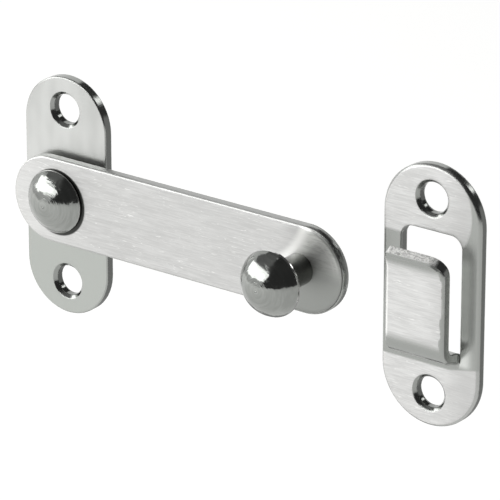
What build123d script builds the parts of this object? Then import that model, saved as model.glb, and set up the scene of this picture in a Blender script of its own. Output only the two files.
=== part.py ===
from build123d import *
from math import pi, radians
import os

# Lever catch in polished stainless steel: a flat lever on a riveted pivot, and a keeper with a hook
# that the lever drops into from above. Millimetres. X runs along the wall from the pivot to the
# keeper, Z is up and -Y points out of the wall. Heights off the wall are measured from the back
# faces of both plates, which lie at Y = 0. The pivot's axis is the line X = 0, Z = 0.

# Sheet
sheet = 1.5
front_round = 0.4
edge_break = 0.15

# Screw holes, the same in both plates
screw_hole_diameter = 4.5
screw_sink_diameter = 5.5
screw_sink_angle = 90

# Back plate
back_plate_height = 36.2
back_plate_width = 14.7
back_plate_hole_pitch = 26.4

# Pivot
shank_diameter = 4.0
head_diameter = 9.5
head_land = 0.3
head_dome = 2.6
head_rim_break = 0.1
tail_diameter = 6.0
tail_depth = 0.9
washer_diameter = 9.0
washer_thickness = 0.9
running_clearance = 0.05

# Lever
lever_width = 13.0
pivot_margin = 7.7
knob_reach = 43.3
knob_margin = 7.4

# Knob
knob_diameter = 9.7
knob_dome = 3.4
knob_land = 0.3
knob_underside = 0.4
knob_rim_break = 0.1
neck_diameter = 4.6
neck_length = 6.1
spigot_diameter = 3.0
spigot_tail_diameter = 3.8
spigot_tail_depth = 0.4

# Keeper
keeper_distance = 63.5
keeper_height = 38.2
keeper_width = 16.0
keeper_hole_pitch = 28.5
keeper_bevel = 0.35
window_bevel = 0.15
window_width = 9.8
window_height = 19.2
window_corner = 1.8

# Tongue, lanced out of the window and bent up into a hook
lance_gap = 0.1
slit_run = 0.4
root_overlap = 1.0
hook_pocket = 2.5
lip_radius = 4.5
lip_angle = 32
lip_corner_right = 2.5
lip_corner_left = 0.8
tongue_bevel = 0.3

# Heights off the wall
lever_back = sheet + washer_thickness + running_clearance
lever_front = lever_back + sheet
head_base = lever_front + running_clearance
head_rim = head_base + head_land
neck_top = lever_front + neck_length
knob_rim = neck_top + knob_underside + knob_land

wall = Plane.XZ
plate_front = wall.offset(sheet)


def turned_plane(x):
    """Half section of a turned piece: radius along X, height off the wall along the plane's Y."""
    return Plane(origin=(x, 0, 0), x_dir=(1, 0, 0), z_dir=(0, 0, -1))


def turning_axis(x):
    return Axis((x, 0, 0), (0, 1, 0))


# Back plate: a stadium of sheet with two screw holes. The pivot's hole is countersunk from behind,
# so that the rivet's spun tail ends flush with the back.
with BuildPart() as back_plate:
    with BuildSketch(wall):
        SlotOverall(back_plate_height, back_plate_width, rotation=90)
    extrude(amount=sheet)
    chamfer(back_plate.faces().filter_by(Axis.Y).edges(), edge_break)
    with Locations(plate_front):
        with GridLocations(0, back_plate_hole_pitch, 1, 2):
            CounterSinkHole(
                screw_hole_diameter / 2, screw_sink_diameter / 2, counter_sink_angle=screw_sink_angle
            )
    with BuildSketch(turned_plane(0)):
        with BuildLine():
            Polyline(
                (0, 0),
                (tail_diameter / 2, 0),
                (shank_diameter / 2, tail_depth),
                (shank_diameter / 2, sheet),
                (0, sheet),
                close=True,
            )
        make_face()
    revolve(axis=turning_axis(0), mode=Mode.SUBTRACT)

# Pivot washer: holds the lever clear of the plate and of the screw heads.
with BuildPart() as pivot_washer:
    with BuildSketch(plate_front):
        Circle(washer_diameter / 2)
        Circle(shank_diameter / 2 + running_clearance, mode=Mode.SUBTRACT)
    extrude(amount=washer_thickness)

# Pivot rivet: a turned low dome with a thin rim, on a shank whose tail is spun out behind.
with BuildPart() as pivot_rivet:
    with BuildSketch(turned_plane(0)):
        with BuildLine():
            Polyline(
                (0, head_rim + head_dome),
                (0, 0),
                (tail_diameter / 2, 0),
                (shank_diameter / 2, tail_depth),
                (shank_diameter / 2, head_base),
                (head_diameter / 2, head_base),
                (head_diameter / 2, head_rim),
            )
            head_radius = ((head_diameter / 2) ** 2 + head_dome**2) / (2 * head_dome)
            RadiusArc((0, head_rim + head_dome), (head_diameter / 2, head_rim), head_radius)
        make_face()
    revolve(axis=turning_axis(0))
    chamfer(pivot_rivet.edges().filter_by(GeomType.CIRCLE).sort_by(SortBy.RADIUS)[-2:], head_rim_break)

# Lever: a flat bar with full round ends. The pivot's hole runs on the shank, and the knob's hole is
# countersunk from behind for its spun spigot.
with BuildPart() as lever:
    with BuildSketch(wall.offset(lever_back)):
        with Locations(((knob_reach + knob_margin - pivot_margin) / 2, 0)):
            SlotOverall(pivot_margin + knob_reach + knob_margin, lever_width)
    extrude(amount=sheet)
    fillet(lever.faces().sort_by(Axis.Y)[0].edges(), front_round)
    chamfer(lever.faces().sort_by(Axis.Y)[-1].edges(), edge_break)
    with Locations(wall.offset(lever_front)):
        Hole(shank_diameter / 2 + running_clearance)
    with BuildSketch(turned_plane(knob_reach)):
        with BuildLine():
            Polyline(
                (0, lever_back),
                (spigot_tail_diameter / 2, lever_back),
                (spigot_diameter / 2, lever_back + spigot_tail_depth),
                (spigot_diameter / 2, lever_front),
                (0, lever_front),
                close=True,
            )
        make_face()
    revolve(axis=turning_axis(knob_reach), mode=Mode.SUBTRACT)

# Knob: a turned domed button on a thin neck. Its spigot goes through the lever and is spun flush.
with BuildPart() as knob:
    with BuildSketch(turned_plane(knob_reach)):
        with BuildLine():
            Polyline(
                (0, knob_rim + knob_dome),
                (0, lever_back),
                (spigot_tail_diameter / 2, lever_back),
                (spigot_diameter / 2, lever_back + spigot_tail_depth),
                (spigot_diameter / 2, lever_front),
                (neck_diameter / 2, lever_front),
                (neck_diameter / 2, neck_top),
                (knob_diameter / 2, neck_top + knob_underside),
                (knob_diameter / 2, knob_rim),
            )
            knob_radius = ((knob_diameter / 2) ** 2 + knob_dome**2) / (2 * knob_dome)
            RadiusArc((0, knob_rim + knob_dome), (knob_diameter / 2, knob_rim), knob_radius)
        make_face()
    revolve(axis=turning_axis(knob_reach))
    chamfer(knob.edges().filter_by(GeomType.CIRCLE).sort_by(SortBy.RADIUS)[-2:], knob_rim_break)

# Tongue: the sheet's front face in side view leaves the plate at the window's foot, turns outwards
# and up again through two equal quarter bends, and flares a little at the lip. The window is as
# high as the flat length of this path, because the tongue is cut out of it.
bend_inner_radius = hook_pocket / 2
flat_bends = 2 * (bend_inner_radius + sheet / 2) * pi / 2
flat_lip = (lip_radius + sheet / 2) * radians(lip_angle)
tongue_upright = window_height - flat_bends - flat_lip
tongue_foot = -window_height / 2
tongue_width = window_width - 2 * lance_gap

with BuildPart() as tongue:
    with BuildSketch(Plane.YZ.offset(keeper_distance - tongue_width / 2)):
        with BuildLine():
            root = Line((-sheet, tongue_foot - root_overlap), (-sheet, tongue_foot))
            outward = JernArc(root @ 1, root % 1, bend_inner_radius, 90)
            upward = JernArc(outward @ 1, outward % 1, bend_inner_radius + sheet, -90)
            upright = Line(upward @ 1, upward @ 1 + (0, tongue_upright))
            JernArc(upright @ 1, upright % 1, lip_radius, lip_angle)
            offset(amount=sheet, side=Side.RIGHT)
        make_face()
    extrude(amount=tongue_width)
    lip_corners = tongue.faces().sort_by(Axis.Z)[-1].edges().filter_by(Axis.X, reverse=True)
    fillet(lip_corners.sort_by(Axis.X)[-1], lip_corner_right)
    lip_corners = tongue.faces().sort_by(Axis.Z)[-1].edges().filter_by(Axis.X, reverse=True)
    fillet(lip_corners.sort_by(Axis.X)[0], lip_corner_left)
    upright_faces = tongue.faces().filter_by(Axis.Y).sort_by(Axis.Y)
    chamfer(upright_faces[0].edges().filter_by(Axis.Z), tongue_bevel)

# Keeper: a stadium of sheet like the back plate, with the window and the tongue that came out of it.
with BuildPart() as keeper:
    with BuildSketch(wall):
        with Locations((keeper_distance, 0)):
            SlotOverall(keeper_height, keeper_width, rotation=90)
    extrude(amount=sheet)
    chamfer(keeper.faces().sort_by(Axis.Y)[0].edges(), keeper_bevel)
    with BuildSketch(wall):
        with Locations((keeper_distance, tongue_foot - slit_run)):
            window = Rectangle(
                window_width, window_height + slit_run, align=(Align.CENTER, Align.MIN)
            )
        fillet(window.vertices().group_by(Axis.Z)[-1], window_corner)
    extrude(amount=sheet, mode=Mode.SUBTRACT)
    chamfer(keeper.faces().sort_by(Axis.Y)[0].inner_wires().edges(), window_bevel)
    chamfer(keeper.faces().sort_by(Axis.Y)[-1].edges(), edge_break)
    with Locations(plate_front):
        with Locations((keeper_distance, 0)):
            with GridLocations(0, keeper_hole_pitch, 1, 2):
                CounterSinkHole(
                    screw_hole_diameter / 2, screw_sink_diameter / 2, counter_sink_angle=screw_sink_angle
                )
    add(tongue.part)

os.makedirs("parts", exist_ok=True)
pieces = {
    "back_plate": back_plate,
    "pivot_washer": pivot_washer,
    "pivot_rivet": pivot_rivet,
    "lever": lever,
    "knob": knob,
    "keeper": keeper,
}
for name, piece in pieces.items():
    piece.part.label = name
    export_step(piece.part, f"parts/{name}.step")
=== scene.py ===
import math
import bpy
from mathutils import Matrix, Vector

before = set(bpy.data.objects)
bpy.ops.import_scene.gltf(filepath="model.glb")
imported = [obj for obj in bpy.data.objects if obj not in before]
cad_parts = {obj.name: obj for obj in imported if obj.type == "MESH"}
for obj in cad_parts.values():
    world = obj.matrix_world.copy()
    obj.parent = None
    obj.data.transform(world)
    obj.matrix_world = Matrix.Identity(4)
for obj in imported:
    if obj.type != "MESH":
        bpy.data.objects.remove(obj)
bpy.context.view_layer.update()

# Back plate: a stadium of 1.5 mm stainless sheet, blanked with its edges tumbled bright. Its face
# keeps the sheet's satin finish, a faint upright grain, and its back the streaks of the rolls. The
# washer under the lever is the same sheet.
mm = 0.001
satin_light = "#C5C6C4"
satin_dark = "#B6B7B5"
satin_span = (0.35, 0.65)
# painted shade: the plate's face is drawn darker towards the bottom, below the lever
low_painted_shade = "#AAADA9"
low_painted_shade_span = (2 * mm, -7 * mm)
satin_line_width = 0.22  # the real lines are about 0.02 mm wide, drawn coarser so that they show
satin_line_length = 7.0
satin_line_depth = 0.02 * mm
satin_cloud_width = 6.0
satin_cloud_length = 16.0
satin_roughness = 0.27
satin_roughness_spread = 0.12
tumbled_edge = "#9C9E9B"
tumbled_roughness = 0.17
tumbled_round = 0.25 * mm
flat_facing = 0.93  # this and the next are sizes of the normal's Y, which is 1 on a flat face
edge_facing = 0.6
# painted shade: the walls of the screw holes are drawn darker than the face
bored_painted_shade = "#8A8C89"
bored_roughness = 0.12
hole_reach = 2.8 * mm
plate_hole = Vector((0.0, 13.2)) * mm
back_light = "#DDDEDC"
back_dark = "#CACCC9"
back_span = (0.34, 0.66)
back_roughness = 0.32
back_roughness_spread = 0.2
roll_line_width = 0.5  # the rolls' real marks are under 0.1 mm wide, drawn coarser so that they show
roll_line_length = 6.0


def linear(hex_colour):
    """An sRGB hex colour as the linear colour that Blender's sockets take."""
    parts = [int(hex_colour[i : i + 2], 16) / 255 for i in (1, 3, 5)]
    return (*[c / 12.92 if c <= 0.04045 else ((c + 0.055) / 1.055) ** 2.4 for c in parts], 1.0)


def node(tree, kind, sockets=None, **settings):
    """Adds a node with its settings, and gives its sockets values or links from other nodes."""
    made = tree.nodes.new(kind)
    for name, value in settings.items():
        setattr(made, name, value)
    for name, value in (sockets or {}).items():
        if isinstance(value, bpy.types.Node):
            value = next(socket for socket in value.outputs if socket.enabled)
        if isinstance(value, bpy.types.NodeSocket):
            tree.links.new(value, made.inputs[name])
        else:
            made.inputs[name].default_value = value
    return made


def new_material(name):
    made = bpy.data.materials.new(name)
    made.use_nodes = True
    made.node_tree.nodes.clear()
    return made, made.node_tree


def finish_with(name, material):
    """Gives a CAD node its material in every slot."""
    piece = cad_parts[name]
    if not piece.material_slots:
        piece.data.materials.append(material)
    for place in piece.material_slots:
        place.material = material


def place_of(tree):
    """Where the surface lies when the part is at rest, in metres, as outputs X, Y and Z."""
    where = node(tree, "ShaderNodeTexCoord").outputs["Object"]
    return node(tree, "ShaderNodeSeparateXYZ", {0: where}).outputs


def facing_of(tree):
    """The direction that the surface faces, as outputs X, Y and Z. Y is -1 straight out of the wall."""
    normal = node(tree, "ShaderNodeTexCoord").outputs["Normal"]
    return node(tree, "ShaderNodeSeparateXYZ", {0: normal}).outputs


def grain(tree, width, length, along, detail=3.0, distortion=0.0):
    """Marks of a width and a length in millimetres, as noise stretched along one axis of the piece."""
    scale = [1000 / width] * 3
    scale["XYZ".index(along)] = 1000 / length
    where = node(tree, "ShaderNodeTexCoord").outputs["Object"]
    stretched = node(tree, "ShaderNodeVectorMath", {0: where, 1: scale}, operation="MULTIPLY")
    return node(
        tree,
        "ShaderNodeTexNoise",
        {"Vector": stretched, "Scale": 1.0, "Detail": detail, "Roughness": 0.65, "Distortion": distortion},
    )


def steps(low, high, start=0.0, end=1.0):
    """Sockets of a map range that goes from start, where its value is low, to end, where it is high."""
    return {"From Min": low, "From Max": high, "To Min": start, "To Max": end}


def cut_edge(tree):
    """1 on the sheet's cut or rounded edge, 0 on its two flat faces."""
    flatness = node(tree, "ShaderNodeMath", {0: facing_of(tree)["Y"]}, operation="ABSOLUTE")
    return node(
        tree,
        "ShaderNodeMapRange",
        {"Value": flatness, **steps(flat_facing, edge_facing)},
        interpolation_type="SMOOTHSTEP",
    )


def outer_face(tree):
    """1 on what faces out of the wall, 0 on the backs and on the edges."""
    return node(
        tree,
        "ShaderNodeMapRange",
        {"Value": facing_of(tree)["Y"], **steps(-edge_facing, -flat_facing)},
        interpolation_type="SMOOTHSTEP",
    )


def sheet_back(tree, colour, roughness, along):
    """The same colour and roughness, but for the mill finish that the backs keep, streaked by the rolls."""
    back = node(
        tree,
        "ShaderNodeMapRange",
        {"Value": facing_of(tree)["Y"], **steps(edge_facing, flat_facing)},
        interpolation_type="SMOOTHSTEP",
    )
    rolled = grain(tree, roll_line_width, roll_line_length, along, detail=4.0, distortion=0.6)
    tone = node(
        tree,
        "ShaderNodeMapRange",
        {"Value": rolled, **steps(*back_span)},
        interpolation_type="SMOOTHSTEP",
    )
    mill = node(
        tree,
        "ShaderNodeMix",
        {0: tone, 6: linear(back_dark), 7: linear(back_light)},
        data_type="RGBA",
    )
    colour = node(tree, "ShaderNodeMix", {0: back, 6: colour, 7: mill}, data_type="RGBA")
    rough = node(
        tree,
        "ShaderNodeMath",
        {0: rolled, 1: back_roughness_spread, 2: back_roughness},
        operation="MULTIPLY_ADD",
    )
    return colour, node(tree, "ShaderNodeMix", {0: back, 2: roughness, 3: rough})


def reach_from(tree, centre, mirrored=False):
    """Distance along the plate's face from a centre, or from the nearer of two level with each other."""
    place = place_of(tree)
    height = place["Z"]
    if mirrored:
        height = node(tree, "ShaderNodeMath", {0: height}, operation="ABSOLUTE")
    flat = node(tree, "ShaderNodeCombineXYZ", {"X": place["X"], "Z": height})
    away = node(tree, "ShaderNodeVectorMath", {0: flat, 1: (centre[0], 0, centre[1])}, operation="SUBTRACT")
    return node(tree, "ShaderNodeVectorMath", {0: away}, operation="LENGTH")


def bored(tree, hole):
    """1 inside the two screw holes, whose walls and sinks the drill left glossy; their darker colour is
    painted shade.
    """
    return node(
        tree,
        "ShaderNodeMath",
        {0: reach_from(tree, hole, mirrored=True), 1: hole_reach},
        operation="LESS_THAN",
    )


satin_steel, tree = new_material("satin_stainless_sheet")
fine = grain(tree, satin_line_width, satin_line_length, "Z")
broad = grain(tree, satin_cloud_width, satin_cloud_length, "Z", detail=2.0)
side = cut_edge(tree)
tone = node(
    tree,
    "ShaderNodeMapRange",
    {"Value": broad, **steps(*satin_span)},
    interpolation_type="SMOOTHSTEP",
)
face = node(tree, "ShaderNodeMix", {0: tone, 6: linear(satin_light), 7: linear(satin_dark)}, data_type="RGBA")
# painted shade, darker towards the bottom of the plate
lower = node(
    tree,
    "ShaderNodeMapRange",
    {"Value": place_of(tree)["Z"], **steps(*low_painted_shade_span)},
    interpolation_type="SMOOTHSTEP",
)
face = node(tree, "ShaderNodeMix", {0: lower, 6: face, 7: linear(low_painted_shade)}, data_type="RGBA")
colour = node(tree, "ShaderNodeMix", {0: side, 6: face, 7: linear(tumbled_edge)}, data_type="RGBA")
in_hole = node(tree, "ShaderNodeMath", {0: bored(tree, plate_hole), 1: side}, operation="MULTIPLY")
colour = node(tree, "ShaderNodeMix", {0: in_hole, 6: colour, 7: linear(bored_painted_shade)}, data_type="RGBA")
roughness = node(
    tree,
    "ShaderNodeMath",
    {0: fine, 1: satin_roughness_spread, 2: satin_roughness},
    operation="MULTIPLY_ADD",
)
roughness = node(tree, "ShaderNodeMix", {0: side, 2: roughness, 3: tumbled_roughness})
roughness = node(tree, "ShaderNodeMix", {0: in_hole, 2: roughness, 3: bored_roughness})
colour, roughness = sheet_back(tree, colour, roughness, "Z")
soft_edge = node(tree, "ShaderNodeBevel", {"Radius": tumbled_round}, samples=8)
relief = node(
    tree,
    "ShaderNodeBump",
    {"Height": fine, "Strength": 0.12, "Distance": satin_line_depth, "Normal": soft_edge},
)
shader = node(
    tree,
    "ShaderNodeBsdfPrincipled",
    {"Base Color": colour, "Metallic": 1.0, "Roughness": roughness, "Normal": relief},
)
node(tree, "ShaderNodeOutputMaterial", {"Surface": shader})
finish_with("back_plate", satin_steel)
finish_with("pivot_washer", satin_steel)

# Lever: a flat bar of the same sheet, 58.4 x 13 mm, with full round ends. A grinding belt was run
# along its face, which leaves bright fine lines lengthwise; the end past the knob bows away from the
# belt and kept the smooth grey mill finish. A painted highlight, a bright feathered line, marks where
# the belt ran out.
lever_light = "#C8C8C7"
lever_dark = "#BABAB9"
belt_span = (0.36, 0.62)
belt_line_width = 0.15  # a 120 grit belt leaves lines of 0.02 to 0.05 mm, drawn coarser so that they show
belt_line_length = 3.0
belt_line_depth = 0.03 * mm
belt_cloud_width = 1.2
belt_cloud_length = 9.0
belt_cloud_share = 0.35
belt_roughness = 0.30
belt_roughness_spread = 0.16
nick_width = 0.2  # a single coarse grit leaves a nick of about 0.05 by 2 mm, also drawn coarser
nick_length = 1.8
nick_span = (0.66, 0.74, 0.0, 0.5)
belt_turn = Vector((34.0, 9.5)) * mm
belt_turn_radius = 10.75 * mm
belt_left = 36.4 * mm
belt_left_fade = 2.4 * mm
belted_edge = "#C4C5C3"
belted_edge_roughness = 0.5
belted_round = 0.12 * mm
run_out = 1.4 * mm
# white of the nicks, and of painted highlights and painted light: the line where the belt ran out, the
# pivot's end of the lever and the tongue's left edge
nick_and_highlight_white = "#F4F4F2"
run_out_highlight_strength = 3.6
mill_grey = "#949693"
mill_roughness = 0.44
mill_line_share = 0.15
# painted shade: the rounding of the lever's edges is drawn greyer, which dims the highlight along it
rounding_painted_shade = "#838482"
rounding_band = (-0.985, -0.87, -0.70)  # values of the normal's Y
end_round = 1.25 * mm
end_bow_radius = 45 * mm
# painted highlight: pale streaks and a pale ring drawn on the bowed end
end_painted_highlight = "#E2E3E0"
# painted shade: a dark band drawn near the rim of the bowed end
end_painted_shade = "#6A6C69"
end_streak_width = 0.5
end_streak_length = 4.0
end_streak_span = (0.3, 0.62, 0.6, 1.0)
end_middle = (44.2 * mm, 0.0)
end_upper_span = (-1.0 * mm, 3.5 * mm)
end_right_span = (44.2 * mm, 46.2 * mm, 0.0, 0.8)
painted_highlight_ring = (4.3 * mm, 5.0 * mm, 5.5 * mm)
painted_shade_ring = (5.6 * mm, 6.0 * mm, 7.5 * mm)
# painted light: the lever's face is drawn paler towards the pivot's end
pivot_end_painted_light_span = (6 * mm, -7 * mm, 0.0, 0.22)
# painted shadow: a dark crescent drawn on the lever round the pivot's head, its centre set off to the right
# and down
pivot_painted_shadow_grey = "#3E3F3D"
pivot_painted_shadow_span = (5.15 * mm, 4.9 * mm)
pivot_painted_shadow_middle = (0.3 * mm, -0.1 * mm)


def ground_steel(name, tones, mill_finish, edge_finish, ground, edge_reach, dressing):
    """Stainless sheet, part belt-ground in two tones, part with a mill finish of a colour and a roughness.
    edge_finish is that of the edges beside the ground face, ground gives the ground share, edge_reach
    how far in the edges' rounding shows, and dressing adds what is special to the piece."""
    material, tree = new_material(name)
    fine = grain(tree, belt_line_width, belt_line_length, "X", detail=4.0, distortion=0.5)
    broad = grain(tree, belt_cloud_width, belt_cloud_length, "X", detail=2.0, distortion=0.8)
    side = cut_edge(tree)
    belted = ground(tree)
    share = node(tree, "ShaderNodeMath", {0: belted, 1: outer_face(tree)}, operation="MULTIPLY")
    wide = node(tree, "ShaderNodeMath", {0: broad, 1: belt_cloud_share}, operation="MULTIPLY")
    lines = node(
        tree,
        "ShaderNodeMath",
        {0: fine, 1: 1 - belt_cloud_share, 2: wide},
        operation="MULTIPLY_ADD",
    )
    tone = node(
        tree,
        "ShaderNodeMapRange",
        {"Value": lines, **steps(*belt_span)},
        interpolation_type="SMOOTHSTEP",
    )
    belt = node(tree, "ShaderNodeMix", {0: tone, 6: linear(tones[0]), 7: linear(tones[1])}, data_type="RGBA")
    nicks = grain(tree, nick_width, nick_length, "X", detail=1.0, distortion=1.2)
    nicked = node(
        tree,
        "ShaderNodeMapRange",
        {"Value": nicks, **steps(*nick_span)},
        interpolation_type="SMOOTHSTEP",
    )
    belt = node(tree, "ShaderNodeMix", {0: nicked, 6: belt, 7: linear(nick_and_highlight_white)}, data_type="RGBA")
    edge = node(
        tree,
        "ShaderNodeMix",
        {0: belted, 6: linear(tumbled_edge), 7: linear(edge_finish[0])},
        data_type="RGBA",
    )
    mill = node(tree, "ShaderNodeMix", {0: side, 6: linear(mill_finish[0]), 7: edge}, data_type="RGBA")
    colour = node(tree, "ShaderNodeMix", {0: share, 6: mill, 7: belt}, data_type="RGBA")
    rough_belt = node(
        tree,
        "ShaderNodeMath",
        {0: fine, 1: belt_roughness_spread, 2: belt_roughness},
        operation="MULTIPLY_ADD",
    )
    rough_edge = node(tree, "ShaderNodeMix", {0: belted, 2: tumbled_roughness, 3: edge_finish[1]})
    rough_mill = node(tree, "ShaderNodeMix", {0: side, 2: mill_finish[1], 3: rough_edge})
    roughness = node(tree, "ShaderNodeMix", {0: share, 2: rough_mill, 3: rough_belt})
    normal = node(tree, "ShaderNodeBevel", {"Radius": edge_reach(tree, belted)}, samples=10)
    colour, roughness, normal = dressing(tree, share, colour, roughness, normal)
    colour, roughness = sheet_back(tree, colour, roughness, "X")
    depth = node(
        tree,
        "ShaderNodeMath",
        {0: share, 1: 1 - mill_line_share, 2: mill_line_share},
        operation="MULTIPLY_ADD",
    )
    depth = node(tree, "ShaderNodeMath", {0: fine, 1: depth}, operation="MULTIPLY")
    relief = node(
        tree,
        "ShaderNodeBump",
        {"Height": depth, "Strength": 0.35, "Distance": belt_line_depth, "Normal": normal},
    )
    shader = node(
        tree,
        "ShaderNodeBsdfPrincipled",
        {"Base Color": colour, "Metallic": 1.0, "Roughness": roughness, "Normal": relief},
    )
    node(tree, "ShaderNodeOutputMaterial", {"Surface": shader})
    return material


def lever_ground(tree):
    """1 from the pivot's end to a line left of the knob, and inside an arc that ends above the knob."""
    inside = node(
        tree,
        "ShaderNodeMapRange",
        {
            "Value": reach_from(tree, belt_turn),
            **steps(belt_turn_radius + run_out, belt_turn_radius - run_out),
        },
        interpolation_type="SMOOTHSTEP",
    )
    before = node(
        tree,
        "ShaderNodeMapRange",
        {"Value": place_of(tree)["X"], **steps(belt_left + belt_left_fade, belt_left - belt_left_fade)},
        interpolation_type="SMOOTHSTEP",
    )
    return node(tree, "ShaderNodeMath", {0: inside, 1: before}, operation="MAXIMUM")


def lever_bow(tree):
    """Height of the face, in metres, which falls away in an arc past the place where the belt ran out."""
    reach = reach_from(tree, belt_turn)
    past = node(tree, "ShaderNodeMath", {0: reach, 1: belt_turn_radius}, operation="SUBTRACT")
    past = node(tree, "ShaderNodeMath", {0: past, 1: 0.0}, operation="MAXIMUM")
    knob_end = node(tree, "ShaderNodeMath", {0: place_of(tree)["X"], 1: belt_left}, operation="GREATER_THAN")
    past = node(tree, "ShaderNodeMath", {0: past, 1: knob_end}, operation="MULTIPLY")
    past = node(tree, "ShaderNodeMath", {0: past, 1: outer_face(tree)}, operation="MULTIPLY")
    square = node(tree, "ShaderNodeMath", {0: past, 1: past}, operation="MULTIPLY")
    return node(tree, "ShaderNodeMath", {0: square, 1: -0.5 / end_bow_radius}, operation="MULTIPLY")


def ring(tree, value, band):
    """1 where the value is the middle one of the band's three, going smoothly to 0 at the other two."""
    rising = node(
        tree,
        "ShaderNodeMapRange",
        {"Value": value, **steps(band[0], band[1])},
        interpolation_type="SMOOTHSTEP",
    )
    falling = node(
        tree,
        "ShaderNodeMapRange",
        {"Value": value, **steps(band[2], band[1])},
        interpolation_type="SMOOTHSTEP",
    )
    return node(tree, "ShaderNodeMath", {0: rising, 1: falling}, operation="MULTIPLY")


def lever_edge(tree, belted):
    """The tumbled end is rounded wider than the belt-ground edges."""
    return node(
        tree,
        "ShaderNodeMath",
        {0: belted, 1: belted_round - end_round, 2: end_round},
        operation="MULTIPLY_ADD",
    )


def lever_dressing(tree, share, colour, roughness, normal):
    """The bowed end with painted highlights, pale streaks and a pale ring, and a painted shade near its rim,
    a painted shade on the rounding of the edges, painted light at the pivot's end, a painted highlight where
    the belt ran out, and a painted shadow round the pivot."""
    place = place_of(tree)
    outer = outer_face(tree)
    off_belt = node(tree, "ShaderNodeMath", {0: 1.0, 1: share}, operation="SUBTRACT")
    streaks = grain(tree, end_streak_width, end_streak_length, "X", detail=3.0, distortion=1.5)
    streaky = node(
        tree,
        "ShaderNodeMapRange",
        {"Value": streaks, **steps(*end_streak_span)},
        interpolation_type="SMOOTHSTEP",
    )
    upper = node(
        tree,
        "ShaderNodeMapRange",
        {"Value": place["Z"], **steps(*end_upper_span)},
        interpolation_type="SMOOTHSTEP",
    )
    reach = reach_from(tree, end_middle)
    # painted highlight on the bowed end
    pale = node(tree, "ShaderNodeMath", {0: streaky, 1: ring(tree, reach, painted_highlight_ring)}, operation="MAXIMUM")
    for factor in (upper, outer, off_belt):
        pale = node(tree, "ShaderNodeMath", {0: pale, 1: factor}, operation="MULTIPLY")
    colour = node(tree, "ShaderNodeMix", {0: pale, 6: colour, 7: linear(end_painted_highlight)}, data_type="RGBA")
    outermost = node(
        tree,
        "ShaderNodeMapRange",
        {"Value": place["X"], **steps(*end_right_span)},
        interpolation_type="SMOOTHSTEP",
    )
    # painted shade near the end's rim
    shaded = ring(tree, reach, painted_shade_ring)
    for factor in (outermost, upper, outer):
        shaded = node(tree, "ShaderNodeMath", {0: shaded, 1: factor}, operation="MULTIPLY")
    colour = node(tree, "ShaderNodeMix", {0: shaded, 6: colour, 7: linear(end_painted_shade)}, data_type="RGBA")
    # painted shade on the rounding of the edges
    rounding = ring(tree, facing_of(tree)["Y"], rounding_band)
    colour = node(tree, "ShaderNodeMix", {0: rounding, 6: colour, 7: linear(rounding_painted_shade)}, data_type="RGBA")
    # painted light at the pivot's end of the lever
    pivot_end_painted_light = node(
        tree,
        "ShaderNodeMapRange",
        {"Value": place["X"], **steps(*pivot_end_painted_light_span)},
        interpolation_type="SMOOTHSTEP",
    )
    pivot_end_painted_light = node(tree, "ShaderNodeMath", {0: pivot_end_painted_light, 1: outer}, operation="MULTIPLY")
    colour = node(
        tree,
        "ShaderNodeMix",
        {0: pivot_end_painted_light, 6: colour, 7: linear(nick_and_highlight_white)},
        data_type="RGBA",
    )
    # painted highlight: a bright feathered line where the belt ran out and the face starts to bow
    band = share
    for factor in (off_belt, run_out_highlight_strength, outer):
        band = node(tree, "ShaderNodeMath", {0: band, 1: factor}, operation="MULTIPLY")
    colour = node(tree, "ShaderNodeMix", {0: band, 6: colour, 7: linear(nick_and_highlight_white)}, data_type="RGBA")
    # painted shadow round the pivot's head
    pivot_painted_shadow = node(
        tree,
        "ShaderNodeMapRange",
        {"Value": reach_from(tree, pivot_painted_shadow_middle), **steps(*pivot_painted_shadow_span)},
        interpolation_type="SMOOTHSTEP",
    )
    pivot_painted_shadow = node(tree, "ShaderNodeMath", {0: pivot_painted_shadow, 1: outer}, operation="MULTIPLY")
    colour = node(tree, "ShaderNodeMix", {0: pivot_painted_shadow, 6: colour, 7: linear(pivot_painted_shadow_grey)}, data_type="RGBA")
    bowed = node(tree, "ShaderNodeBump", {"Height": lever_bow(tree), "Distance": 1.0, "Normal": normal})
    return colour, roughness, bowed


lever_steel = ground_steel(
    "belt_ground_lever",
    (lever_light, lever_dark),
    (mill_grey, mill_roughness),
    (belted_edge, belted_edge_roughness),
    lever_ground,
    lever_edge,
    lever_dressing,
)
finish_with("lever", lever_steel)

# Keeper: a second stadium of the sheet, 38.2 x 16 mm, with a window whose tongue is cut on three
# sides, drawn out through two bends and turned up as the hook that catches the lever. The flats above
# and below the window and the tongue's face are belt-ground; the rails beside the window are not.
keeper_light = "#D4D4D3"
keeper_dark = "#C1C1C0"
# painted shade: the keeper's ground face is drawn darker towards the right
keeper_painted_shade = "#B2B2B1"
painted_shade_side_span = (64.5 * mm, 70.0 * mm, 0.0, 0.6)
rail_grey = "#989A97"
rail_roughness = 0.26
keeper_round = 0.45 * mm
keeper_hole = Vector((63.5, 14.25)) * mm
window_top = 8.4 * mm
window_top_span = (8.1 * mm, 8.7 * mm)
ground_turn = Vector((61.6, 12.6)) * mm
ground_turn_span = (8.55 * mm, 8.05 * mm)
root_kink = 66.9 * mm
root_rise = 0.2
root_span = (-9.8 * mm, -10.1 * mm)
tongue_face = -4.6 * mm
tongue_face_span = (-4.3 * mm, -4.9 * mm)
tongue_top_span = (6.2 * mm, 4.6 * mm)
tongue_foot_span = (-5.9 * mm, -4.5 * mm)
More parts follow.
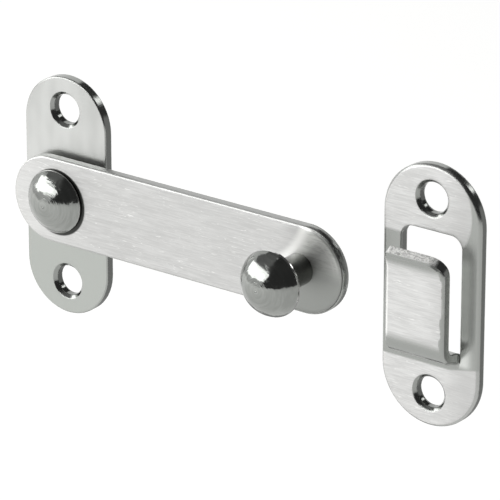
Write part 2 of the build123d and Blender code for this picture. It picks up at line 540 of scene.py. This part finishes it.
# where the painted highlight along the tongue's left edge lies
tongue_left_span = (59.35 * mm, 59.05 * mm)
tongue_right_span = (69.17 * mm, 68.93 * mm)
waver_size = 3.0  # the line's waves are about 3 mm long
waver_width = 2.4 * mm
slot_side_grey = "#C6C8C5"
slot_side_span = (70.8 * mm, 69.2 * mm)
slot_edge = 68.4 * mm
slot_foot_span = (-9.6 * mm, -8.6 * mm)
slot_head_span = (7.4 * mm, 5.4 * mm)
lip_foot = 6.3 * mm
lip_edge_foot = 6.0 * mm
lip_facing_span = (0.66, 0.78)
torn_white = "#F4F4F2"
torn_grey = "#B4B4B2"
torn_span = (0.36, 0.58)
torn_round = 0.05 * mm
torn_roughness = 0.7
pit_width = 0.5
pit_height = 0.3
pit_depth = 0.12 * mm


def keeper_ground(tree):
    """1 where the belt reached: above the window, below the tongue's root, and on the tongue's face, up
    to a wavering line at its right."""
    place = place_of(tree)
    past_kink = node(tree, "ShaderNodeMath", {0: place["X"], 1: root_kink}, operation="SUBTRACT")
    past_kink = node(tree, "ShaderNodeMath", {0: past_kink, 1: 0.0}, operation="MAXIMUM")
    foot = node(
        tree,
        "ShaderNodeMath",
        {0: past_kink, 1: -root_rise, 2: place["Z"]},
        operation="MULTIPLY_ADD",
    )
    waver = grain(tree, waver_size, waver_size, "X")
    right = node(tree, "ShaderNodeMath", {0: waver, 1: waver_width, 2: place["X"]}, operation="MULTIPLY_ADD")
    over_window, in_turn, below, raised, under_lip, over_foot, left_of_line = (
        node(tree, "ShaderNodeMapRange", {"Value": value, **steps(*span)}, interpolation_type="SMOOTHSTEP")
        for value, span in (
            (place["Z"], window_top_span),
            (reach_from(tree, ground_turn), ground_turn_span),
            (foot, root_span),
            (place["Y"], tongue_face_span),
            (place["Z"], tongue_top_span),
            (place["Z"], tongue_foot_span),
            (right, tongue_right_span),
        )
    )
    above = node(tree, "ShaderNodeMath", {0: over_window, 1: in_turn}, operation="MULTIPLY")
    on_plate = node(tree, "ShaderNodeMath", {0: above, 1: below}, operation="MAXIMUM")
    on_tongue = raised
    for factor in (under_lip, over_foot, left_of_line):
        on_tongue = node(tree, "ShaderNodeMath", {0: on_tongue, 1: factor}, operation="MULTIPLY")
    return node(tree, "ShaderNodeMath", {0: on_plate, 1: on_tongue}, operation="MAXIMUM")


def keeper_edge(tree, belted):
    """The edges are rounded alike, but for the lip's torn end, which is sharp."""
    place = place_of(tree)
    above = node(tree, "ShaderNodeMath", {0: place["Z"], 1: lip_edge_foot}, operation="GREATER_THAN")
    raised = node(tree, "ShaderNodeMath", {0: place["Y"], 1: tongue_face}, operation="LESS_THAN")
    sharp = node(tree, "ShaderNodeMath", {0: above, 1: raised}, operation="MULTIPLY")
    return node(
        tree,
        "ShaderNodeMath",
        {0: sharp, 1: torn_round - keeper_round, 2: keeper_round},
        operation="MULTIPLY_ADD",
    )


def keeper_dressing(tree, share, colour, roughness, normal):
    """A painted shade that darkens the ground face towards the right, the glossy holes with their painted
    shade, the paler strip beside the slot, a painted highlight on the tongue's left edge, and the lip's end,
    where the die tore the sheet and left it matt and pitted."""
    place = place_of(tree)
    # painted shade towards the right of the ground face
    wear_and_shade = node(
        tree,
        "ShaderNodeMapRange",
        {"Value": place["X"], **steps(*painted_shade_side_span)},
        interpolation_type="SMOOTHSTEP",
    )
    wear_and_shade = node(tree, "ShaderNodeMath", {0: wear_and_shade, 1: share}, operation="MULTIPLY")
    colour = node(tree, "ShaderNodeMix", {0: wear_and_shade, 6: colour, 7: linear(keeper_painted_shade)}, data_type="RGBA")
    in_hole = node(
        tree,
        "ShaderNodeMath",
        {0: bored(tree, keeper_hole), 1: cut_edge(tree)},
        operation="MULTIPLY",
    )
    # painted shade in the keeper's screw hole
    colour = node(tree, "ShaderNodeMix", {0: in_hole, 6: colour, 7: linear(bored_painted_shade)}, data_type="RGBA")
    roughness = node(tree, "ShaderNodeMix", {0: in_hole, 2: roughness, 3: bored_roughness})
    strip, over_foot, under_head = (
        node(tree, "ShaderNodeMapRange", {"Value": value, **steps(*span)}, interpolation_type="SMOOTHSTEP")
        for value, span in (
            (place["X"], slot_side_span),
            (place["Z"], slot_foot_span),
            (place["Z"], slot_head_span),
        )
    )
    right = node(tree, "ShaderNodeMath", {0: place["X"], 1: slot_edge}, operation="GREATER_THAN")
    off_belt = node(tree, "ShaderNodeMath", {0: 1.0, 1: share}, operation="SUBTRACT")
    for factor in (right, over_foot, under_head, off_belt, outer_face(tree)):
        strip = node(tree, "ShaderNodeMath", {0: strip, 1: factor}, operation="MULTIPLY")
    colour = node(tree, "ShaderNodeMix", {0: strip, 6: colour, 7: linear(slot_side_grey)}, data_type="RGBA")
    # painted highlight along the tongue's left edge
    bright = node(
        tree,
        "ShaderNodeMapRange",
        {"Value": place["X"], **steps(*tongue_left_span)},
        interpolation_type="SMOOTHSTEP",
    )
    raised = node(tree, "ShaderNodeMath", {0: place["Y"], 1: tongue_face}, operation="LESS_THAN")
    for factor in (raised, share):
        bright = node(tree, "ShaderNodeMath", {0: bright, 1: factor}, operation="MULTIPLY")
    colour = node(tree, "ShaderNodeMix", {0: bright, 6: colour, 7: linear(nick_and_highlight_white)}, data_type="RGBA")
    torn = node(
        tree,
        "ShaderNodeMapRange",
        {"Value": facing_of(tree)["Z"], **steps(*lip_facing_span)},
        interpolation_type="SMOOTHSTEP",
    )
    over_lip_foot = node(tree, "ShaderNodeMath", {0: place["Z"], 1: lip_foot}, operation="GREATER_THAN")
    under_window_top = node(tree, "ShaderNodeMath", {0: place["Z"], 1: window_top}, operation="LESS_THAN")
    for factor in (over_lip_foot, under_window_top):
        torn = node(tree, "ShaderNodeMath", {0: torn, 1: factor}, operation="MULTIPLY")
    pits = grain(tree, pit_height, pit_width, "X", detail=3.0, distortion=1.0)
    tone = node(
        tree,
        "ShaderNodeMapRange",
        {"Value": pits, **steps(*torn_span)},
        interpolation_type="SMOOTHSTEP",
    )
    rag = node(
        tree,
        "ShaderNodeMix",
        {0: tone, 6: linear(torn_grey), 7: linear(torn_white)},
        data_type="RGBA",
    )
    colour = node(tree, "ShaderNodeMix", {0: torn, 6: colour, 7: rag}, data_type="RGBA")
    roughness = node(tree, "ShaderNodeMix", {0: torn, 2: roughness, 3: torn_roughness})
    depth = node(tree, "ShaderNodeMath", {0: pits, 1: torn}, operation="MULTIPLY")
    pitted = node(
        tree,
        "ShaderNodeBump",
        {"Height": depth, "Strength": 0.8, "Distance": pit_depth, "Normal": normal},
    )
    return colour, roughness, pitted


keeper_steel = ground_steel(
    "belt_ground_keeper",
    (keeper_light, keeper_dark),
    (rail_grey, rail_roughness),
    (tumbled_edge, tumbled_roughness),
    keeper_ground,
    keeper_edge,
    keeper_dressing,
)
finish_with("keeper", keeper_steel)

# Pivot rivet and knob: turned from round stainless bar and buffed bright. The tool's fine rings round
# the axis still show in the shine, broken by the buffing wheel, with a small swirl at each dome's pole.
# The shank, the neck and the rim under the pivot's dome weren't buffed and are also drawn dark, a painted
# shade; the other rims, the undersides and the spun tails are faced bright.
polished_light = "#949693"
polished_dark = "#8B8D8A"
polished_roughness = 0.08
polished_roughness_spread = 0.08
# unbuffed finish, and painted shade: the neck and the pivot head's rim are drawn near black
turned_dull_and_shaded = "#5E5F5C"
turned_roughness = 0.2
turned_fade = 0.05 * mm
faced_bright = "#D8D8D6"
faced_from = -0.3  # this and the next are values of the normal's Y
tail_from = 0.5
ring_pitch = 0.36  # the tool's feed is about 0.1 mm a turn, drawn coarser so that the rings show
ring_run = 2.6
ring_span = (0.35, 0.65)
ring_depth = 0.09 * mm
buffed_patches = 420.0  # patches to the metre, each about 2.4 mm across
buffed_span = (0.45, 0.62, 0.08, 1.0)
pole_swirl = 0.35
pole_span = (0.9 * mm, 0.3 * mm)
pole_swirl_share = 0.3
pivot_rim = -4.28 * mm
knob_axis = 43.3 * mm
knob_neck_top = -9.98 * mm


def turned_steel(name, axis_x, dull_and_shaded_from):
    """Buffed bar with turning rings round an axis at x; nearer the wall than dull_and_shaded_from it is
    unbuffed and drawn dark, a painted shade.
    """
    material, tree = new_material(name)
    where = node(tree, "ShaderNodeTexCoord").outputs["Object"]
    place = place_of(tree)
    reach = reach_from(tree, (axis_x, 0.0))
    ring_place = node(
        tree,
        "ShaderNodeCombineXYZ",
        {
            "X": node(tree, "ShaderNodeMath", {0: reach, 1: 1000 / ring_pitch}, operation="MULTIPLY"),
            "Y": node(tree, "ShaderNodeMath", {0: place["X"], 1: 1000 / ring_run}, operation="MULTIPLY"),
            "Z": node(tree, "ShaderNodeMath", {0: place["Z"], 1: 1000 / ring_run}, operation="MULTIPLY"),
        },
    )
    rings = node(
        tree,
        "ShaderNodeTexNoise",
        {"Vector": ring_place, "Scale": 1.0, "Detail": 2.0, "Roughness": 0.6},
    )
    patches = node(tree, "ShaderNodeTexNoise", {"Vector": where, "Scale": buffed_patches, "Detail": 1.0})
    wear_and_shade = node(
        tree,
        "ShaderNodeMapRange",
        {"Value": patches, **steps(*buffed_span)},
        interpolation_type="SMOOTHSTEP",
    )
    swirl = node(
        tree,
        "ShaderNodeTexNoise",
        {"Vector": where, "Scale": 1000 / pole_swirl, "Detail": 2.0, "Distortion": 1.5},
    )
    at_pole = node(
        tree,
        "ShaderNodeMapRange",
        {"Value": reach, **steps(*pole_span)},
        interpolation_type="SMOOTHSTEP",
    )
    off_pole = node(tree, "ShaderNodeMath", {0: 1.0, 1: at_pole}, operation="SUBTRACT")
    streaks = rings
    for factor in (wear_and_shade, off_pole):
        streaks = node(tree, "ShaderNodeMath", {0: streaks, 1: factor}, operation="MULTIPLY")
    swirled = node(tree, "ShaderNodeMath", {0: at_pole, 1: pole_swirl_share}, operation="MULTIPLY")
    marks = node(tree, "ShaderNodeMath", {0: swirl, 1: swirled, 2: streaks}, operation="MULTIPLY_ADD")
    tone = node(
        tree,
        "ShaderNodeMapRange",
        {"Value": rings, **steps(*ring_span)},
        interpolation_type="SMOOTHSTEP",
    )
    colour = node(
        tree,
        "ShaderNodeMix",
        {0: tone, 6: linear(polished_dark), 7: linear(polished_light)},
        data_type="RGBA",
    )
    # unbuffed, and painted shade, nearer the wall than dull_and_shaded_from
    dull_and_shaded = node(
        tree,
        "ShaderNodeMapRange",
        {"Value": place["Y"], **steps(dull_and_shaded_from - turned_fade, dull_and_shaded_from + turned_fade)},
    )
    inward = facing_of(tree)["Y"]
    faced = node(tree, "ShaderNodeMath", {0: inward, 1: faced_from}, operation="GREATER_THAN")
    colour = node(tree, "ShaderNodeMix", {0: faced, 6: colour, 7: linear(faced_bright)}, data_type="RGBA")
    colour = node(tree, "ShaderNodeMix", {0: dull_and_shaded, 6: colour, 7: linear(turned_dull_and_shaded)}, data_type="RGBA")
    tail = node(tree, "ShaderNodeMath", {0: inward, 1: tail_from}, operation="GREATER_THAN")
    colour = node(tree, "ShaderNodeMix", {0: tail, 6: colour, 7: linear(faced_bright)}, data_type="RGBA")
    shine = node(
        tree,
        "ShaderNodeMath",
        {0: rings, 1: polished_roughness_spread, 2: polished_roughness},
        operation="MULTIPLY_ADD",
    )
    roughness = node(tree, "ShaderNodeMix", {0: dull_and_shaded, 2: shine, 3: turned_roughness})
    relief = node(tree, "ShaderNodeBump", {"Height": marks, "Strength": 0.6, "Distance": ring_depth})
    shader = node(
        tree,
        "ShaderNodeBsdfPrincipled",
        {"Base Color": colour, "Metallic": 1.0, "Roughness": roughness, "Normal": relief},
    )
    node(tree, "ShaderNodeOutputMaterial", {"Surface": shader})
    return material


finish_with("pivot_rivet", turned_steel("turned_pivot", 0.0, pivot_rim))
finish_with("knob", turned_steel("turned_knob", knob_axis, knob_neck_top))

# Floor: a wide pale card well below the part, which is held clear of it as it is on its wall. The
# camera and the metal see it glow, so that it goes over into the pale room.
card_white = "#F2F2F1"
card_glow = 0.27
card_drop = 0.20
card_reach = 4.0
corners = [
    (x * card_reach, y * card_reach, -card_drop) for x, y in ((-1, -1), (1, -1), (1, 1), (-1, 1))
]
floor_mesh = bpy.data.meshes.new("floor")
floor_mesh.from_pydata(corners, [], [(0, 1, 2, 3)])
floor = bpy.data.objects.new("floor", floor_mesh)
bpy.context.collection.objects.link(floor)
pale_card, tree = new_material("pale_card")


def seen_directly(tree):
    """1 for what the camera sees, straight or in a mirror, and 0 for light that falls on a surface."""
    path = node(tree, "ShaderNodeLightPath").outputs
    mirrored = node(
        tree,
        "ShaderNodeMath",
        {0: path["Is Glossy Ray"], 1: path["Is Transmission Ray"]},
        operation="MAXIMUM",
    )
    return node(tree, "ShaderNodeMath", {0: path["Is Camera Ray"], 1: mirrored}, operation="MAXIMUM")


glow = node(tree, "ShaderNodeMath", {0: seen_directly(tree), 1: card_glow}, operation="MULTIPLY")
lift = node(tree, "ShaderNodeEmission", {"Color": (1, 1, 1, 1), "Strength": glow})
card = node(tree, "ShaderNodeBsdfDiffuse", {"Color": linear(card_white)})
both = node(tree, "ShaderNodeAddShader", {0: card, 1: lift})
node(tree, "ShaderNodeOutputMaterial", {"Surface": both})
floor_mesh.materials.append(pale_card)

# Studio: a pale room, a large softbox at the front left, the dark side of the room to the right and
# behind, its dim ceiling, a narrow lamp and a grey card at the back right, and another grey card behind
# and below. The polished domes and the tumbled rims reflect all of it.
room_light = 0.62  # what falls on the surfaces
room_seen = 1.0  # what the camera and the reflections see
dark_wall = "#464646"
dim_wall = "#8E8E8E"
dim_back_wall = "#7C7C7C"
card_grey = "#A4A4A4"
lamp_white = "#FFFFFF"
middle = Vector((32.0, -7.0, 0.0)) * mm
softbox_turn, softbox_rise, softbox_roll = -43, 27, 9  # degrees
softbox_half_width, softbox_half_height = 42, 14.5  # degrees, as seen from the part
softbox_distance = 1.4
softbox_watts = 17.5
world = bpy.data.worlds.new("room")
world.use_nodes = True
world.node_tree.nodes.clear()
tree = world.node_tree
strength = node(
    tree,
    "ShaderNodeMapRange",
    {"Value": seen_directly(tree), **steps(0.0, 1.0, room_light, room_seen)},
)
room = node(tree, "ShaderNodeBackground", {"Color": (1, 1, 1, 1), "Strength": strength})
node(tree, "ShaderNodeOutputWorld", {"Surface": room})
bpy.context.scene.world = world


def toward(turn, rise):
    """Unit vector at a turn to the right of straight out of the wall, and a rise, in degrees."""
    a, e = math.radians(turn), math.radians(rise)
    return Vector((math.sin(a) * math.cos(e), -math.cos(a) * math.cos(e), math.sin(e)))


softbox = bpy.data.lights.new("softbox", "AREA")
softbox.shape = "RECTANGLE"
softbox.size = 2 * softbox_distance * math.tan(math.radians(softbox_half_width))
softbox.size_y = 2 * softbox_distance * math.tan(math.radians(softbox_half_height))
softbox.energy = softbox_watts
softbox_object = bpy.data.objects.new("softbox", softbox)
bpy.context.collection.objects.link(softbox_object)
outward = toward(softbox_turn, softbox_rise)
softbox_object.location = middle + outward * softbox_distance
softbox_object.rotation_mode = "QUATERNION"
rolled = Matrix.Rotation(math.radians(softbox_roll), 3, "Z").to_quaternion()
softbox_object.rotation_quaternion = outward.to_track_quat("Z", "Y") @ rolled
softbox_object.visible_camera = False


def curved_card(name, hex_colours, distance, turns, rises, strength=1.0, parts=16):
    """A curved card round the part, between two turns and two rises, that only reflections show. Its
    first colour goes over into its last one across the last third of its width."""
    corners = []
    for i in range(parts + 1):
        for j in range(parts + 1):
            turn = turns[0] + (turns[1] - turns[0]) * i / parts
            rise = rises[0] + (rises[1] - rises[0]) * j / parts
            corners.append(middle + toward(turn, rise) * distance)
    panels = [
        (k, k + 1, k + parts + 2, k + parts + 1)
        for k in (i * (parts + 1) + j for i in range(parts) for j in range(parts))
    ]
    mesh = bpy.data.meshes.new(name)
    mesh.from_pydata(corners, [], panels)
    made = bpy.data.objects.new(name, mesh)
    bpy.context.collection.objects.link(made)
    cloth, tree = new_material(name)
    place = node(tree, "ShaderNodeNewGeometry").outputs["Position"]
    place = node(tree, "ShaderNodeVectorMath", {0: place, 1: middle}, operation="SUBTRACT")
    part = node(tree, "ShaderNodeSeparateXYZ", {0: place})
    forward = node(tree, "ShaderNodeMath", {0: part.outputs["Y"], 1: -1.0}, operation="MULTIPLY")
    turn = node(tree, "ShaderNodeMath", {0: part.outputs["X"], 1: forward}, operation="ARCTAN2")
    fade_start = math.radians(turns[1] - (turns[1] - turns[0]) / 3)
    fade = node(
        tree,
        "ShaderNodeMapRange",
        {"Value": turn, **steps(fade_start, math.radians(turns[1]))},
        interpolation_type="SMOOTHSTEP",
    )
    colour = node(
        tree,
        "ShaderNodeMix",
        {0: fade, 6: linear(hex_colours[0]), 7: linear(hex_colours[-1])},
        data_type="RGBA",
    )
    glow = node(tree, "ShaderNodeEmission", {"Color": colour, "Strength": strength})
    node(tree, "ShaderNodeOutputMaterial", {"Surface": glow})
    mesh.materials.append(cloth)
    made.visible_camera = False
    made.visible_diffuse = False
    made.visible_shadow = False


curved_card("dark_side", [dark_wall], 2.2, (-12, 170), (-3, 88))
curved_card("dim_ceiling", [dim_wall, dark_wall], 2.1, (-100, 22), (33, 88))
curved_card("dim_ceiling_back", [dim_back_wall], 2.1, (-160, -100), (50, 88))
curved_card("dark_back", [dark_wall], 2.1, (165, 200), (27, 88))
curved_card("narrow_lamp", [lamp_white], 1.6, (148, 157), (27, 40), strength=3.0)
curved_card("grey_card", [card_grey], 0.30, (112, 170), (-36, 12))
curved_card("low_card", [card_grey], 0.22, (140, 240), (-62, -30))

# Camera: a long lens from the front right and above, as in the photograph.
camera = bpy.data.cameras.new("camera")
camera.sensor_width = 36.0
camera.lens = 299.2
camera.clip_start = 0.01
camera.clip_end = 10.0
camera_object = bpy.data.objects.new("camera", camera)
bpy.context.collection.objects.link(camera_object)
camera_object.location = (0.35495, -0.43392, 0.21550)
camera_turn = 36.669
camera_rise = 21.830
camera_object.rotation_mode = "QUATERNION"
camera_object.rotation_quaternion = toward(camera_turn, camera_rise).to_track_quat("Z", "Y")
bpy.context.scene.camera = camera_object
bpy.context.scene.view_settings.view_transform = "Standard"
